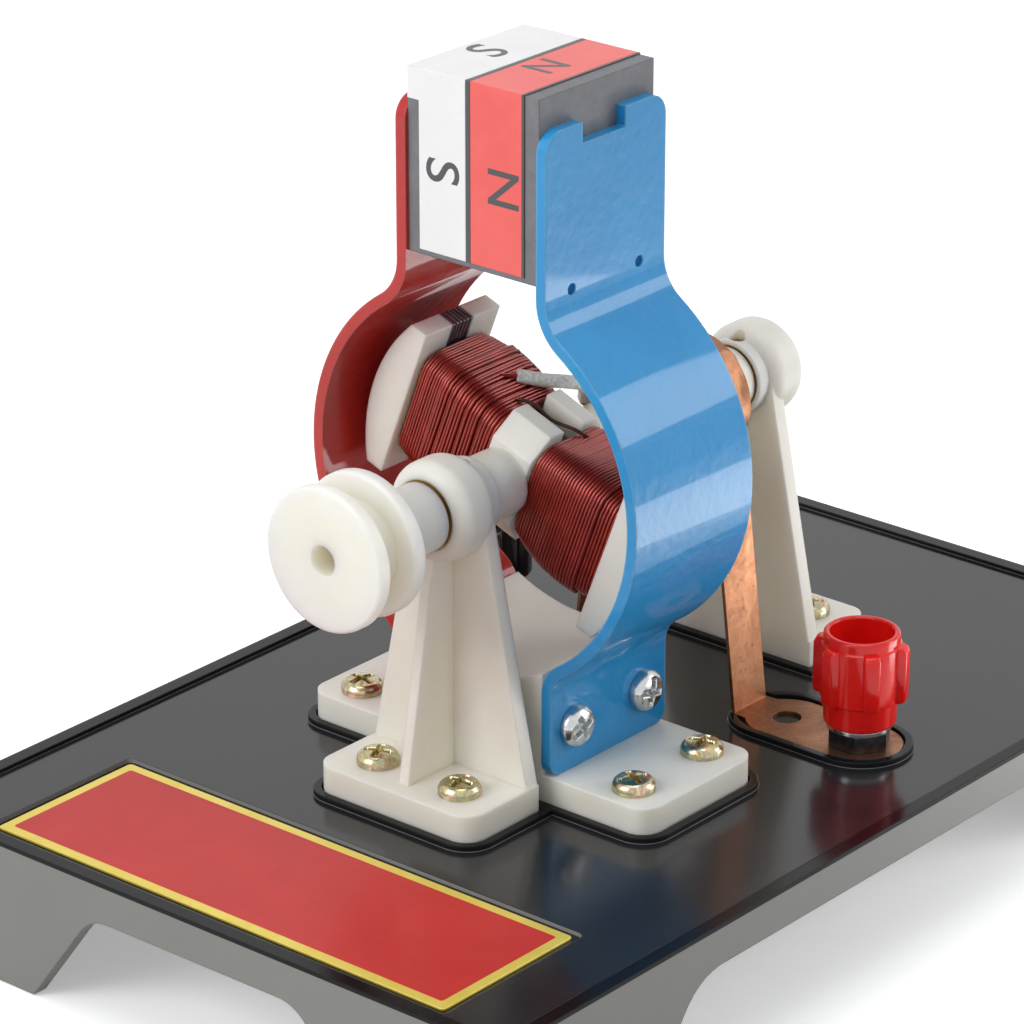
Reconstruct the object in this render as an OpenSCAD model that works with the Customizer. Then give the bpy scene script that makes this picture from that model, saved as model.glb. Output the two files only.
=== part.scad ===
// Demonstration electric motor for a school laboratory, about 160 x 103 x 117 mm.
// A bar magnet stands across two bent steel pole pieces, and a two-coil rotor with a
// pulley turns between them on two moulded brackets. Copper strips press on the commutator
// and run to a red and a black binding post. Origin: base, bottom centre. The shaft lies
// along Y with the pulley at -Y, the blue pole piece is at +X and +Z is up.

/* [Base] */
// length of the moulded base, along the shaft
base_length = 160; // [130:1:220]
// width of the moulded base, across the shaft
base_width = 103; // [86:1:150]
// height of the base from its feet to the top of the rim
base_height = 20.5; // [18:0.5:40]
// thickness of the base side walls
base_wall = 2.2; // [1.6:0.1:3.5]
// thickness of the flat deck
deck_thickness = 2.6; // [2:0.1:5]
// width of the raised rim round the deck
rim_width = 2.2; // [1.5:0.1:4]
// height of the rim above the deck
rim_height = 0.6; // [0.4:0.1:1.5]
// radius of the base corners
base_corner = 2.5; // [1:0.5:6]
// height of the openings between the corner feet
arch_height = 14.8; // [8:0.2:16]
// half width of the opening in an end wall, at its top
end_arch_half = 17.8; // [10:0.2:30]
// half width of the opening in a side wall, at its top
side_arch_half = 42; // [20:0.5:60]
// how much wider each side of an opening is at the table
arch_flare = 11; // [4:0.5:14]

/* [Label] */
// length of the metal label plate
label_length = 77; // [50:1:84]
// height of the metal label plate
label_height = 24.8; // [15:0.2:27]
// thickness of the label plate
label_thickness = 0.4; // [0.3:0.1:0.8]

/* [Shaft] */
// height of the shaft axis above the deck
shaft_height = 41.2; // [39:0.1:56]
// diameter of the steel shaft
shaft_diameter = 4; // [3:0.1:5]
// radial running clearance in the bearing bushes
bush_clearance = 0.04; // [0.02:0.01:0.09]

/* [Brackets] */
// thickness of the feet of all the white mouldings
foot_thickness = 4.4; // [3:0.1:6]
// width of a bearing bracket foot
bracket_width = 27; // [22:0.5:34]
// depth of a bearing bracket foot
bracket_depth = 14; // [12:0.5:20]
// thickness of the upright web of a bracket
web_thickness = 2.2; // [1.6:0.1:3.5]
// width of the web where it meets the boss
web_top_width = 11.4; // [8:0.2:13]
// outer diameter of the bearing boss
boss_diameter = 13.8; // [12:0.2:18]
// length of the bearing boss
boss_length = 8.2; // [6:0.2:12]
// distance from the front bracket web to the rear bracket web
bracket_span = 59; // [54:0.5:80]
// outer diameter of the brass bush
bush_diameter = 9.6; // [8:0.1:10.5]

/* [Magnet] */
// width of the bar magnet, pole to pole
magnet_width = 21.8; // [16:0.2:26]
// length of the bar magnet, along the shaft
magnet_length = 22.8; // [16:0.2:30]
// height of the bar magnet
magnet_height = 24.8; // [16:0.2:32]
// thickness of the printed label round the magnet
wrap_thickness = 0.2; // [0.1:0.05:0.4]

/* [Pole pieces] */
// thickness of the steel strip of the pole pieces
strip_thickness = 1.6; // [1:0.1:2.5]
// width of the steel strip, along the shaft
strip_width = 24; // [18:0.5:32]
// gap between the rotor shoes and the curved part round them
pole_gap = 2.3; // [1.4:0.1:6]
// how far the middle of the pole curve lies above the shaft
pole_rise = 1.2; // [0:0.1:2]
// distance between the insides of the two pole feet
saddle_width = 24; // [22:0.2:30]
// distance from the upper bends of the pole pieces to the magnet
magnet_gap = 1.48; // [1.3:0.02:10]
// overall width of the white pole holder
holder_width = 59; // [54:0.5:70]

/* [Rotor] */
// diameter over the rotor shoes
rotor_diameter = 47.4; // [40:0.2:49]
// length of the rotor shoes, along the shaft
rotor_length = 15; // [12:0.2:22]
// thickness of the stack of steel sheets
core_thickness = 4.2; // [3:0.2:8]
// how far the resting rotor is turned from the level
rotor_angle = 159; // [0:1:180]
// diameter of the commutator
commutator_diameter = 18; // [12:0.2:20]
// length of the commutator segments
commutator_length = 12; // [9:0.5:16]

/* [Pulley] */
// diameter of the pulley flanges
pulley_diameter = 19.5; // [15:0.5:30]
// diameter at the bottom of the belt groove
groove_diameter = 13; // [10:0.5:14]
// width over both pulley flanges
pulley_width = 8.8; // [6:0.2:14]
// diameter of the pulley hub
hub_diameter = 9.4; // [8:0.2:10]
// length of the pulley hub behind the flanges
hub_length = 10; // [8:0.2:18]

/* [Terminals] */
// distance of the binding posts from the middle of the base
post_x = 33; // [30:0.5:42]
// distance of the binding posts behind the middle of the base
post_y = 16.2; // [12:0.2:26]
// width of the copper foot under a post
strip_foot_width = 12; // [9:0.5:16]
// width of the upright copper strip
brush_width = 7; // [4:0.5:9]
// thickness of the copper strip
brush_thickness = 0.5; // [0.3:0.05:0.8]
// outer diameter of the knob body
knob_diameter = 11; // [9:0.2:14]
// height of the knob
knob_height = 13.4; // [11:0.2:18]
// distance that a knob can be unscrewed upwards
knob_travel = 2.5; // [1:0.1:3]

/* [Screws] */
// diameter of the screw heads
head_diameter = 5.8; // [4.5:0.1:6.4]
// height of the screw heads
head_height = 1.9; // [1.2:0.1:2.4]
// diameter of the screw shanks
shank_diameter = 2.9; // [2:0.1:3.2]

/* [Hidden] */
// finest arc setting, true arcs at any size
$fn = 72;
// small overlap that lets cuts pass right through
eps = 0.01;
// small play between moulded parts and screws
play = 0.02;
// height of the deck above the table
deck_z = base_height - rim_height;
// height of the tops of the moulded feet
foot_z = deck_z + foot_thickness;
// height of the shaft axis above the table
axis_z = deck_z + shaft_height;
// radius of the shaft
shaft_r = shaft_diameter / 2;
// radius of the brass bushes
bush_r = bush_diameter / 2;
// rotor-side faces of the two bracket webs
front_web_y = -28;
rear_web_y = front_web_y + bracket_span;
// middle of the magnet, poles and rotor along the shaft
mid_y = front_web_y + 2.3 + strip_width / 2;
// inner and outer radius of the curved part of the strip
pole_radius = rotor_diameter / 2 + pole_gap;
pole_outer = pole_radius + strip_thickness;
// height of the middle of the pole curve
pole_z = axis_z + pole_rise;
// outer faces of the upper and lower flats of a pole piece
upper_x = magnet_width / 2 + strip_thickness;
lower_x = saddle_width / 2 + strip_thickness;
// bend radii of the pole pieces, outside
upper_bend = 6.5;
lower_bend = 4;
// heights where the bends meet the flats
upper_bend_z = pole_z + sqrt(pow(pole_outer + upper_bend, 2) - pow(upper_x + upper_bend, 2));
lower_bend_z = pole_z - sqrt(pow(pole_outer + lower_bend, 2) - pow(lower_x + lower_bend, 2));
// underside of the magnet
magnet_z = upper_bend_z + magnet_gap;
// top end of the pole pieces
pole_top = magnet_z + magnet_height - 4.2;
// screw places on the bracket feet
bracket_screw_x = bracket_width / 2 - 6.4;
bracket_screw_y = bracket_depth - 5.6;
// screw places on the holder feet and in the pole feet
holder_screw_x = (lower_x + holder_width / 2) / 2 + 2.2;
holder_screw_y = strip_width / 2 - 4.8;
holder_length = strip_width - 0.4;
// height of the pole screws
pole_screw_z = (foot_z + lower_bend_z) / 2 + 0.32;
// length of the screw shanks under the heads
shank_length = 10;
// middle and ends of the rotor along the shaft
rotor_y = mid_y + 1.5;
rotor_front = rotor_y - rotor_length / 2;
rotor_rear = rotor_y + rotor_length / 2;
// half of the sheet stack
core_half = core_thickness / 2;
// half height of a rotor arm inside its coil
arm_half = 4;
// distance along an arm where the shoe begins
shoe_start = rotor_diameter / 2 - 5.6;
// half height of a rotor shoe
shoe_half = 11.4;
// distance along an arm where the coil begins
coil_start = 3.6;
// half height of the rotor hub between the coils
hub_half = 8.6;
// how far a coil stands off its arm at the two ends
coil_build_in = 2.2;
coil_build_out = 4.8;
// commutator place
commutator_y = post_y - commutator_length / 2;
commutator_r = commutator_diameter / 2;
// radius of the insulating sleeve
sleeve_r = commutator_r - 0.9;
// radius of the rotor hub on both sides of the shoes
hub_r = 4.6;
// angle from a coil's arm to its soldering tag
tag_angle = 19;
// front and rear ends of the rotor hub
hub_front = front_web_y + 2.2;
hub_rear = rear_web_y - 2.2;
// pulley places
pulley_rear = front_web_y - boss_length + 1.2 - 0.5;
pulley_front = pulley_rear - hub_length - pulley_width;
// ends of the shaft
shaft_front = pulley_front + 5;
shaft_rear = rear_web_y + boss_length - 0.8;
// terminal sizes
stud_r = 2;
nut_height = 2.6;
washer_thickness = 0.6;
strip_z = deck_z + brush_thickness;
nut_z = strip_z + nut_height;
washer_z = nut_z + washer_thickness;
knob_r = knob_diameter / 2;
// rise of a knob for one full turn
thread_pitch = 0.7;
// lean of the copper strips towards the commutator
brush_foot_x = 14;
brush_rise = axis_z - strip_z;
brush_reach = sqrt(pow(brush_foot_x, 2) + pow(brush_rise, 2));
brush_lean = atan(brush_foot_x / brush_rise) - asin((commutator_r + play) / brush_reach);
// plan sizes of the ridges round the feet
ridge_gap = 0.3;
ridge_wide = 1.1;
ridge_high = 0.8;

// ---------- shared shapes ----------

// rectangle with round corners, centred
module round_rect(x, y, r) {
    square([x - 2 * r, y], center = true);
    square([x, y - 2 * r], center = true);
    for (i = [-1, 1], j = [-1, 1]) translate([i * (x / 2 - r), j * (y / 2 - r)]) circle(r);
}

// rectangle with fully round ends, centred
module stadium(x, y) {
    square([x - y, y], center = true);
    for (i = [-1, 1]) translate([i * (x - y) / 2, 0]) circle(d = y);
}

// flat outline drawn in X and Z, pushed back along Y from y0 over a length
module along_y(y0, length) {
    translate([0, y0 + length, 0]) rotate([90, 0, 0]) linear_extrude(length) children();
}

// round bar along Y on the shaft axis
module axis_bar(r, y0, y1) {
    translate([0, y1, axis_z]) rotate([90, 0, 0]) cylinder(r = r, h = y1 - y0);
}

// ring along Y on the shaft axis with rounded outer edges
module soft_ring(r, y0, y1, e) {
    translate([0, y1, axis_z]) rotate([90, 0, 0]) rotate_extrude() {
        square([r - e, y1 - y0]);
        translate([0, e]) square([r, y1 - y0 - 2 * e]);
        translate([r - e, e]) circle(e);
        translate([r - e, y1 - y0 - e]) circle(e);
    }
}

// part of a flat ring between two angles less than 180 degrees apart
module ring_part(r0, r1, a0, a1) {
    far = r1 * 3;
    mid = (a0 + a1) / 2;
    intersection() {
        difference() {
            circle(r1);
            circle(r0);
        }
        polygon([
            [0, 0], [far * cos(a0), far * sin(a0)],
            [far * cos((a0 + mid) / 2), far * sin((a0 + mid) / 2)], [far * cos(mid), far * sin(mid)],
            [far * cos((a1 + mid) / 2), far * sin((a1 + mid) / 2)], [far * cos(a1), far * sin(a1)]
        ]);
    }
}

// places of the four bracket screws and the four holder screws
module at_foot_screws() {
    for (x = [-1, 1]) {
        translate([x * bracket_screw_x, front_web_y - bracket_screw_y, 0]) children();
        translate([x * bracket_screw_x, rear_web_y + bracket_screw_y, 0]) children();
        for (y = [-1, 1]) translate([x * holder_screw_x, mid_y + y * holder_screw_y, 0]) children();
    }
}

// places of the two binding posts
module at_posts() {
    for (x = [-1, 1]) translate([x * post_x, post_y, 0]) children();
}

// pan head screw with a cross recess, pointing down from z = 0
module pan_screw(length) {
    difference() {
        union() {
            translate([0, 0, -length]) cylinder(d = shank_diameter, h = length + 0.2);
            rotate_extrude() difference() {
                intersection() {
                    square([head_diameter / 2, head_height]);
                    translate([0, head_height - head_diameter]) circle(head_diameter);
                }
                translate([-1, -1]) square([1, head_height + 2]);
            }
        }
        for (a = [45, 135]) rotate([0, 0, a]) translate([0, 0, head_height])
            cube([head_diameter * 0.56, 0.8, 2.2], center = true);
    }
}

// ---------- base ----------

// outline of the raised ridges round every foot
module ridge_plan(grow) {
    g = 2 * grow;
    translate([0, front_web_y - bracket_depth / 2])
        round_rect(bracket_width + g, bracket_depth + g, 3 + grow);
    translate([0, rear_web_y + bracket_depth / 2])
        round_rect(bracket_width + g, bracket_depth + g, 3 + grow);
    for (y = [front_web_y - 1.75, rear_web_y + 1.75]) translate([0, y])
        square([bracket_width + g, 3.5 + g], center = true);
    translate([0, mid_y]) round_rect(holder_width + g, holder_length + g, 3 + grow);
    for (s = [-1, 1]) {
        foot_mid = (brush_foot_x + post_x + strip_foot_width / 2) / 2;
        foot_long = post_x + strip_foot_width / 2 - brush_foot_x;
        translate([s * foot_mid, post_y])
            stadium(foot_long + g, strip_foot_width + g);
    }
}

// opening between two corner feet, drawn standing up, with rounded top corners
module arch(half_top, round) {
    side = atan2(arch_height, arch_flare);
    cut = round * tan(side / 2);
    low = arch_flare * (1 + 1 / arch_height);
    for (s = [-1, 1]) translate([s * (half_top - cut), arch_height - round]) circle(round);
    polygon([
        [-half_top - low, -1],
        [-half_top - cut * cos(side), arch_height - cut * sin(side)],
        [-half_top + cut, arch_height],
        [half_top - cut, arch_height],
        [half_top + cut * cos(side), arch_height - cut * sin(side)],
        [half_top + low, -1]
    ]);
}

module base() {
    color("#262628") difference() {
        union() {
            difference() {
                linear_extrude(base_height) round_rect(base_width, base_length, base_corner);
                translate([0, 0, -1]) linear_extrude(deck_z - deck_thickness + 1)
                    round_rect(base_width - 2 * base_wall, base_length - 2 * base_wall, 1);
                translate([0, 0, deck_z]) linear_extrude(base_height)
                    round_rect(base_width - 2 * rim_width, base_length - 2 * rim_width, 1);
                translate([0, base_length, 0]) rotate([90, 0, 0])
                    linear_extrude(2 * base_length) arch(end_arch_half, 6);
                translate([-base_width, 0, 0]) rotate([90, 0, 90])
                    linear_extrude(2 * base_width) arch(side_arch_half, 9);
            }
            translate([0, 0, deck_z - eps]) linear_extrude(ridge_high + eps) difference() {
                ridge_plan(ridge_gap + ridge_wide);
                ridge_plan(ridge_gap);
            }
            at_foot_screws() translate([0, 0, deck_z - 9.5]) cylinder(r = 3.4, h = 9);
        }
        translate([0, -base_length / 2 + 16.4, deck_z - label_thickness - 0.1]) linear_extrude(5)
            round_rect(label_length + 2, label_height + 2, 1);
        at_foot_screws() translate([0, 0, deck_z - 20]) cylinder(d = shank_diameter + 2 * play, h = 30);
        at_posts() translate([0, 0, deck_z - 20]) cylinder(r = stud_r + 0.1, h = 30);
        for (s = [-1, 1]) translate([s * (brush_foot_x + 1), post_y, deck_z + 2.5])
            cube([5, brush_width + 1.2, 5], center = true);
    }
}

module label_plate() {
    color("#c42a2a") translate([0, -base_length / 2 + 16.4, deck_z - label_thickness - 0.1])
        linear_extrude(label_thickness) round_rect(label_length, label_height, 0.6);
}

// ---------- brackets and bushes ----------

// bracket with its web face at y = 0 and its foot towards -Y
module bracket() {
    half = bracket_width / 2 - 0.3;
    top = web_top_width / 2;
    rib_top = axis_z - boss_diameter / 2 + 1;
    difference() {
        union() {
            translate([0, -bracket_depth / 2, deck_z]) linear_extrude(foot_thickness)
                round_rect(bracket_width, bracket_depth, 3);
            translate([-bracket_width / 2, -3.5, deck_z]) cube([bracket_width, 3.5, foot_thickness]);
            along_y(-web_thickness, web_thickness) polygon([
                [-half, deck_z], [half, deck_z], [half, foot_z], [top, axis_z], [-top, axis_z],
                [-half, foot_z]
            ]);
            translate([-0.8, 0, 0]) rotate([90, 0, 90]) linear_extrude(1.6) polygon([
                [-bracket_depth + 2.4, foot_z - 1], [-1, foot_z - 1], [-1, rib_top],
                [-boss_length + 2.2, rib_top]
            ]);
            soft_ring(boss_diameter / 2, -boss_length + 1.2, 0.2, 2.4);
            axis_bar(boss_diameter / 2 - 1.5, -1, 2);
        }
        axis_bar(bush_r, -boss_length - 5, 5);
        translate([0, 0.4, axis_z]) cylinder(r = 1.1, h = boss_diameter);
        for (x = [-1, 1]) translate([x * bracket_screw_x, -bracket_screw_y, 0])
            cylinder(d = shank_diameter + 0.5, h = axis_z);
    }
}

module front_bracket() {
    color("#e8e5da") translate([0, front_web_y, 0]) bracket();
}

module rear_bracket() {
    color("#e8e5da") translate([0, rear_web_y, 0]) rotate([0, 0, 180]) bracket();
}

// brass bush that lines a boss, drawn for a web face at y = 0
module bush() {
    difference() {
        axis_bar(bush_r, -boss_length + 1.5, 1.7);
        axis_bar(shaft_r + bush_clearance, -20, 20);
        axis_bar(bush_r - 0.7, -20, -boss_length + 2.3);
    }
}

module front_bush() {
    color("#b08a45") translate([0, front_web_y, 0]) bush();
}

module rear_bush() {
    color("#b08a45") translate([0, rear_web_y, 0]) rotate([0, 0, 180]) bush();
}

// ---------- magnet, pole pieces and their holder ----------

module pole_holder() {
    half = saddle_width / 2;
    color("#e8e5da") difference() {
        union() {
            translate([0, mid_y, deck_z]) linear_extrude(foot_thickness)
                round_rect(holder_width, holder_length, 3);
            translate([-half, mid_y - holder_length / 2, deck_z])
                cube([saddle_width, holder_length, pole_z - deck_z - pole_radius + 3.4]);
        }
        translate([0, 0, pole_rise]) axis_bar(pole_radius + 0.3, mid_y - 30, mid_y + 30);
        for (x = [-1, 1], y = [-1, 1]) {
            translate([x * holder_screw_x, mid_y + y * holder_screw_y, 0])
                cylinder(d = shank_diameter + 0.5, h = axis_z);
            translate([x * (half + 1), mid_y + y * holder_screw_y, pole_screw_z])
                rotate([0, -90 * x, 0]) cylinder(d = shank_diameter + 2 * play, h = shank_length - 0.4);
        }
    }
}

// bent strip of a pole piece for the +X side
module pole() {
    upper_a = atan2(upper_bend_z - pole_z, upper_x + upper_bend);
    lower_a = atan2(lower_bend_z - pole_z, lower_x + lower_bend);
    inner_u = upper_bend + strip_thickness;
    inner_l = lower_bend + strip_thickness;
    difference() {
        union() {
            along_y(mid_y - strip_width / 2, strip_width) {
                translate([0, pole_z]) ring_part(pole_radius, pole_outer, lower_a - 0.1, upper_a + 0.1);
                translate([upper_x + upper_bend, upper_bend_z])
                    ring_part(upper_bend, inner_u, 180, 180 + upper_a);
                translate([lower_x + lower_bend, lower_bend_z])
                    ring_part(lower_bend, inner_l, 180 + lower_a, 180);
                translate([upper_x - strip_thickness, upper_bend_z - eps])
                    square([strip_thickness, magnet_z - upper_bend_z + 6]);
            }
            translate([lower_x, mid_y, 0]) rotate([0, -90, 0]) linear_extrude(strip_thickness) {
                translate([(foot_z + lower_bend_z) / 2 + 2, 0])
                    square([lower_bend_z - foot_z - 4 + 2 * eps, strip_width], center = true);
                translate([foot_z + 3, 0]) round_rect(6, strip_width, 2);
            }
            translate([upper_x, mid_y, 0]) rotate([0, -90, 0]) linear_extrude(strip_thickness)
                translate([(magnet_z + pole_top) / 2, 0])
                    round_rect(pole_top - magnet_z, strip_width, 3);
            for (y = [-1, 1]) translate([magnet_width / 2 - 0.8, mid_y + y * 6.8, magnet_z - 1.1])
                rotate([0, 90, 0]) cylinder(r = 1, h = 1);
        }
        translate([0, mid_y - 4.8, pole_top - 2.8]) cube([upper_x + 2, 8.6, 10]);
        for (y = [-1, 1]) {
            translate([lower_x - 5, mid_y + y * holder_screw_y, pole_screw_z]) rotate([0, 90, 0])
                cylinder(d = shank_diameter + 0.4, h = 10);
            translate([upper_x - 0.8, mid_y + y * 6.8, magnet_z - 1.1]) rotate([0, 90, 0])
                cylinder(r = 0.8, h = 5);
        }
    }
}

module blue_pole() {
    color("#3f8fc9") pole();
}

module red_pole() {
    color("#9c2a26") mirror([1, 0, 0]) pole();
}

module magnet() {
    color("#4c4c4e") translate([-magnet_width / 2, mid_y - magnet_length / 2, magnet_z])
        cube([magnet_width, magnet_length, magnet_height]);
}

// printed band over the front, top and rear of the magnet
module magnet_label() {
    w = magnet_width - 4.4;
    l = magnet_length + 2 * wrap_thickness;
    color("#f0eeec") translate([-w / 2, mid_y - l / 2, magnet_z + 0.6]) difference() {
        cube([w, l, magnet_height + wrap_thickness - 0.6]);
        translate([-1, wrap_thickness, -1])
            cube([w + 2, magnet_length, magnet_height - 0.6 + 1]);
    }
}

// ---------- rotor ----------

// turns its children with the resting rotor about the shaft
module turned() {
    translate([0, 0, axis_z]) rotate([0, -rotor_angle, 0]) children();
}

// flat outline of the two rotor shoes, with the arms along X
module shoe_plan() {
    intersection() {
        circle(d = rotor_diameter);
        for (s = [0, 180]) rotate(s) translate([shoe_start, -shoe_half])
            square([rotor_diameter, 2 * shoe_half]);
    }
}

// flat outline of the rotor hub between the coils
module hub_plan() {
    square([2 * coil_start - 0.4, 2 * arm_half + 2], center = true);
}

// flat outline of the two rotor arms
module arm_plan() {
    square([2 * shoe_start + 2, 2 * arm_half], center = true);
}

// one moulded half of the rotor, from the sheet stack out to its face at -Y
module rotor_half() {
    depth = rotor_length / 2 - core_half;
    rotate([90, 0, 0]) translate([0, 0, core_half]) {
        linear_extrude(depth) shoe_plan();
        linear_extrude(depth - 2.4) arm_plan();
        translate([-coil_start + 0.2, 0, 0]) rotate([90, 0, 90])
            linear_extrude(2 * coil_start - 0.4) polygon([
                [-hub_half, 0], [hub_half, 0], [hub_half, depth - 2.8],
                [hub_half - 3.4, depth], [3.4 - hub_half, depth], [-hub_half, depth - 2.8]
            ]);
    }
}

module rotor_frame_front() {
    color("#eceae2") difference() {
        union() {
            translate([0, rotor_y, 0]) turned() rotor_half();
            axis_bar(hub_r, hub_front, rotor_front + play);
        }
        axis_bar(shaft_r + play, -base_length, base_length);
    }
}

module rotor_frame_rear() {
    color("#eceae2") difference() {
        union() {
            translate([0, rotor_y, 0]) turned() mirror([0, 1, 0]) rotor_half();
            axis_bar(hub_r, rotor_rear - play, commutator_y - 3);
        }
        axis_bar(shaft_r + play, -base_length, base_length);
    }
}

module rotor_core() {
    color("#48484b") translate([0, rotor_y, 0]) turned() rotate([90, 0, 0])
        translate([0, 0, -core_half]) linear_extrude(core_thickness) difference() {
            union() {
                shoe_plan();
                hub_plan();
                arm_plan();
            }
            circle(shaft_r + play);
        }
}

// block from x0 to x1 round the arm, y and z being its half sizes
module coil_slice(x0, x1, y, z) {
    translate([x0, -y, -z]) cube([x1 - x0, 2 * y, 2 * z]);
}

// one coil, fullest past its middle, on the arm along +X
module coil() {
    y_arm = rotor_length / 2 - 2.4;
    belly = coil_start + 0.6 * (shoe_start - coil_start);
    difference() {
        hull() {
            coil_slice(coil_start, coil_start + 0.4, y_arm + coil_build_in,
                arm_half + 0.5 * coil_build_in);
            coil_slice(coil_start, coil_start + 0.4, y_arm + 0.4 * coil_build_in,
                arm_half + coil_build_in);
            coil_slice(belly, belly + 1, y_arm + 0.65 * coil_build_out,
                arm_half + 0.6 * coil_build_out);
            coil_slice(belly, belly + 1, y_arm + 0.2 * coil_build_out, arm_half + coil_build_out);
            coil_slice(shoe_start - 0.4, shoe_start, y_arm + 0.3 * coil_build_out,
                arm_half + 0.5 * coil_build_out);
            coil_slice(shoe_start - 0.4, shoe_start, y_arm, arm_half + 0.8 * coil_build_out);
        }
        coil_slice(0, rotor_diameter, y_arm, arm_half);
    }
}

module coil_a() {
    color("#7a2a22") translate([0, rotor_y, 0]) turned() coil();
}

module coil_b() {
    color("#7a2a22") translate([0, rotor_y, 0]) turned() rotate([0, 180, 0]) coil();
}

module commutator_sleeve() {
    color("#e4e0d2") difference() {
        union() {
            axis_bar(sleeve_r, commutator_y - 0.6, commutator_y + commutator_length + 0.3);
            axis_bar(hub_r, commutator_y - 3, hub_rear);
        }
        axis_bar(shaft_r + play, -base_length, base_length);
    }
}

// half shell of copper with a soldering tag
module segment() {
    difference() {
        union() {
            axis_bar(commutator_r, commutator_y, commutator_y + commutator_length);
            translate([0, commutator_y, axis_z]) rotate([90, 0, 0]) translate([0, 0, -0.8])
                linear_extrude(0.8) rotate(tag_angle) translate([commutator_r, 0])
                    round_rect(5, 3, 1);
        }
        axis_bar(sleeve_r, -base_length, base_length);
        translate([-50, commutator_y - 1, axis_z - 50]) cube([100, commutator_length + 2, 50.5]);
    }
}

// turns its children about the shaft by an angle
module spun(a) {
    translate([0, 0, axis_z]) rotate([0, -a, 0]) translate([0, 0, -axis_z]) children();
}

module commutator_segment_a() {
    color("#c08050") spun(rotor_angle) segment();
}

module commutator_segment_b() {
    color("#c08050") spun(rotor_angle + 180) segment();
}

// round-ended bar between two points
module wire_run(a, b, r) {
    hull() {
        translate(a) sphere(r, $fn = 20);
        translate(b) sphere(r, $fn = 20);
    }
}

// sleeved wire end from the rear of a coil back to its soldering tag
module coil_lead() {
    r = 0.8;
    y_coil = rotor_length / 2 - 2.4 + coil_build_out * 0.65 + r + play;
    y_tag = commutator_y - rotor_y - r - play;
    reach = commutator_r + 1.3;
    wire_run([8.5, y_coil, -4], [reach * cos(tag_angle), y_tag, reach * sin(tag_angle)], r);
}

module coil_lead_a() {
    color("#dfe0d8") translate([0, rotor_y, 0]) turned() coil_lead();
}

module coil_lead_b() {
    color("#dfe0d8") translate([0, rotor_y, 0]) turned() rotate([0, 180, 0]) coil_lead();
}

module shaft() {
    color("#b8bcc0") axis_bar(shaft_r, shaft_front, shaft_rear);
}

module pulley() {
    flange = pulley_width * 0.24;
    color("#f4f1e4") difference() {
        union() {
            soft_ring(pulley_diameter / 2, pulley_front, pulley_front + flange, 0.5);
            axis_bar(groove_diameter / 2, pulley_front + 1, pulley_front + pulley_width - 1);
            soft_ring(pulley_diameter / 2, pulley_front + pulley_width - flange,
                pulley_front + pulley_width, 0.5);
            axis_bar(hub_diameter / 2, pulley_front + pulley_width - 1, pulley_rear);
        }
        axis_bar(shaft_r, pulley_front - 1, pulley_rear + 1);
    }
}

// ---------- terminals and brushes ----------

// copper strip for the +X side, foot on the deck and blade leaning on the commutator
module brush() {
    t = brush_thickness;
    foot_end = post_x + strip_foot_width / 2;
    blade = brush_reach * cos(asin((commutator_r + play) / brush_reach)) + 8.7;
    difference() {
        union() {
            translate([0, post_y, deck_z]) linear_extrude(t) {
                translate([brush_foot_x - 0.4, -brush_width / 2 - 0.3])
                    square([strip_foot_width / 2 + 1.4, brush_width + 0.6]);
                translate([(brush_foot_x + 1.2 + foot_end) / 2, 0])
                    stadium(foot_end - brush_foot_x - 1.2, strip_foot_width);
            }
            translate([brush_foot_x, post_y, strip_z]) rotate([0, -brush_lean, 0])
                translate([t, 0, 0]) rotate([0, -90, 0]) linear_extrude(t) {
                    translate([-t * 0.8, -brush_width / 2])
                        square([blade - brush_width / 2 + t * 0.8, brush_width]);
                    translate([blade - brush_width / 2, 0]) circle(d = brush_width);
                }
        }
        translate([post_x, post_y, 0]) cylinder(r = stud_r + 0.1, h = axis_z);
        translate([brush_foot_x + 6.8, post_y, 0]) cylinder(r = 2, h = deck_z + 2);
    }
}

module red_side_brush() {
    color("#b87850") brush();
}

module black_side_brush() {
    color("#b87850") mirror([1, 0, 0]) brush();
}

module terminal_studs() {
    color("#b59a58") at_posts() translate([0, 0, deck_z - deck_thickness - 3.6])
        cylinder(r = stud_r, h = deck_thickness + 3.6 + washer_z - deck_z + 5.6);
}

module terminal_nuts() {
    color("#3a3a3c") at_posts() difference() {
        translate([0, 0, strip_z]) cylinder(r = 4.5, h = nut_height, $fn = 6);
        translate([0, 0, deck_z]) cylinder(r = stud_r + play, h = 20);
    }
}

module under_nuts() {
    color("#b8bcc0") at_posts() difference() {
        translate([0, 0, deck_z - deck_thickness - 2.4]) cylinder(r = 4, h = 2.4, $fn = 6);
        cylinder(r = stud_r + play, h = 60);
    }
}

// thin washer that a knob presses down
module washer() {
    difference() {
        translate([0, post_y, nut_z]) cylinder(r = 4.4, h = washer_thickness);
        translate([0, post_y, 0]) cylinder(r = stud_r + 0.06, h = 90);
    }
}

module red_washer() {
    color("#a8a9ab") translate([post_x, 0, 0]) washer();
}

module black_washer() {
    color("#a8a9ab") translate([-post_x, 0, 0]) washer();
}

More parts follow.
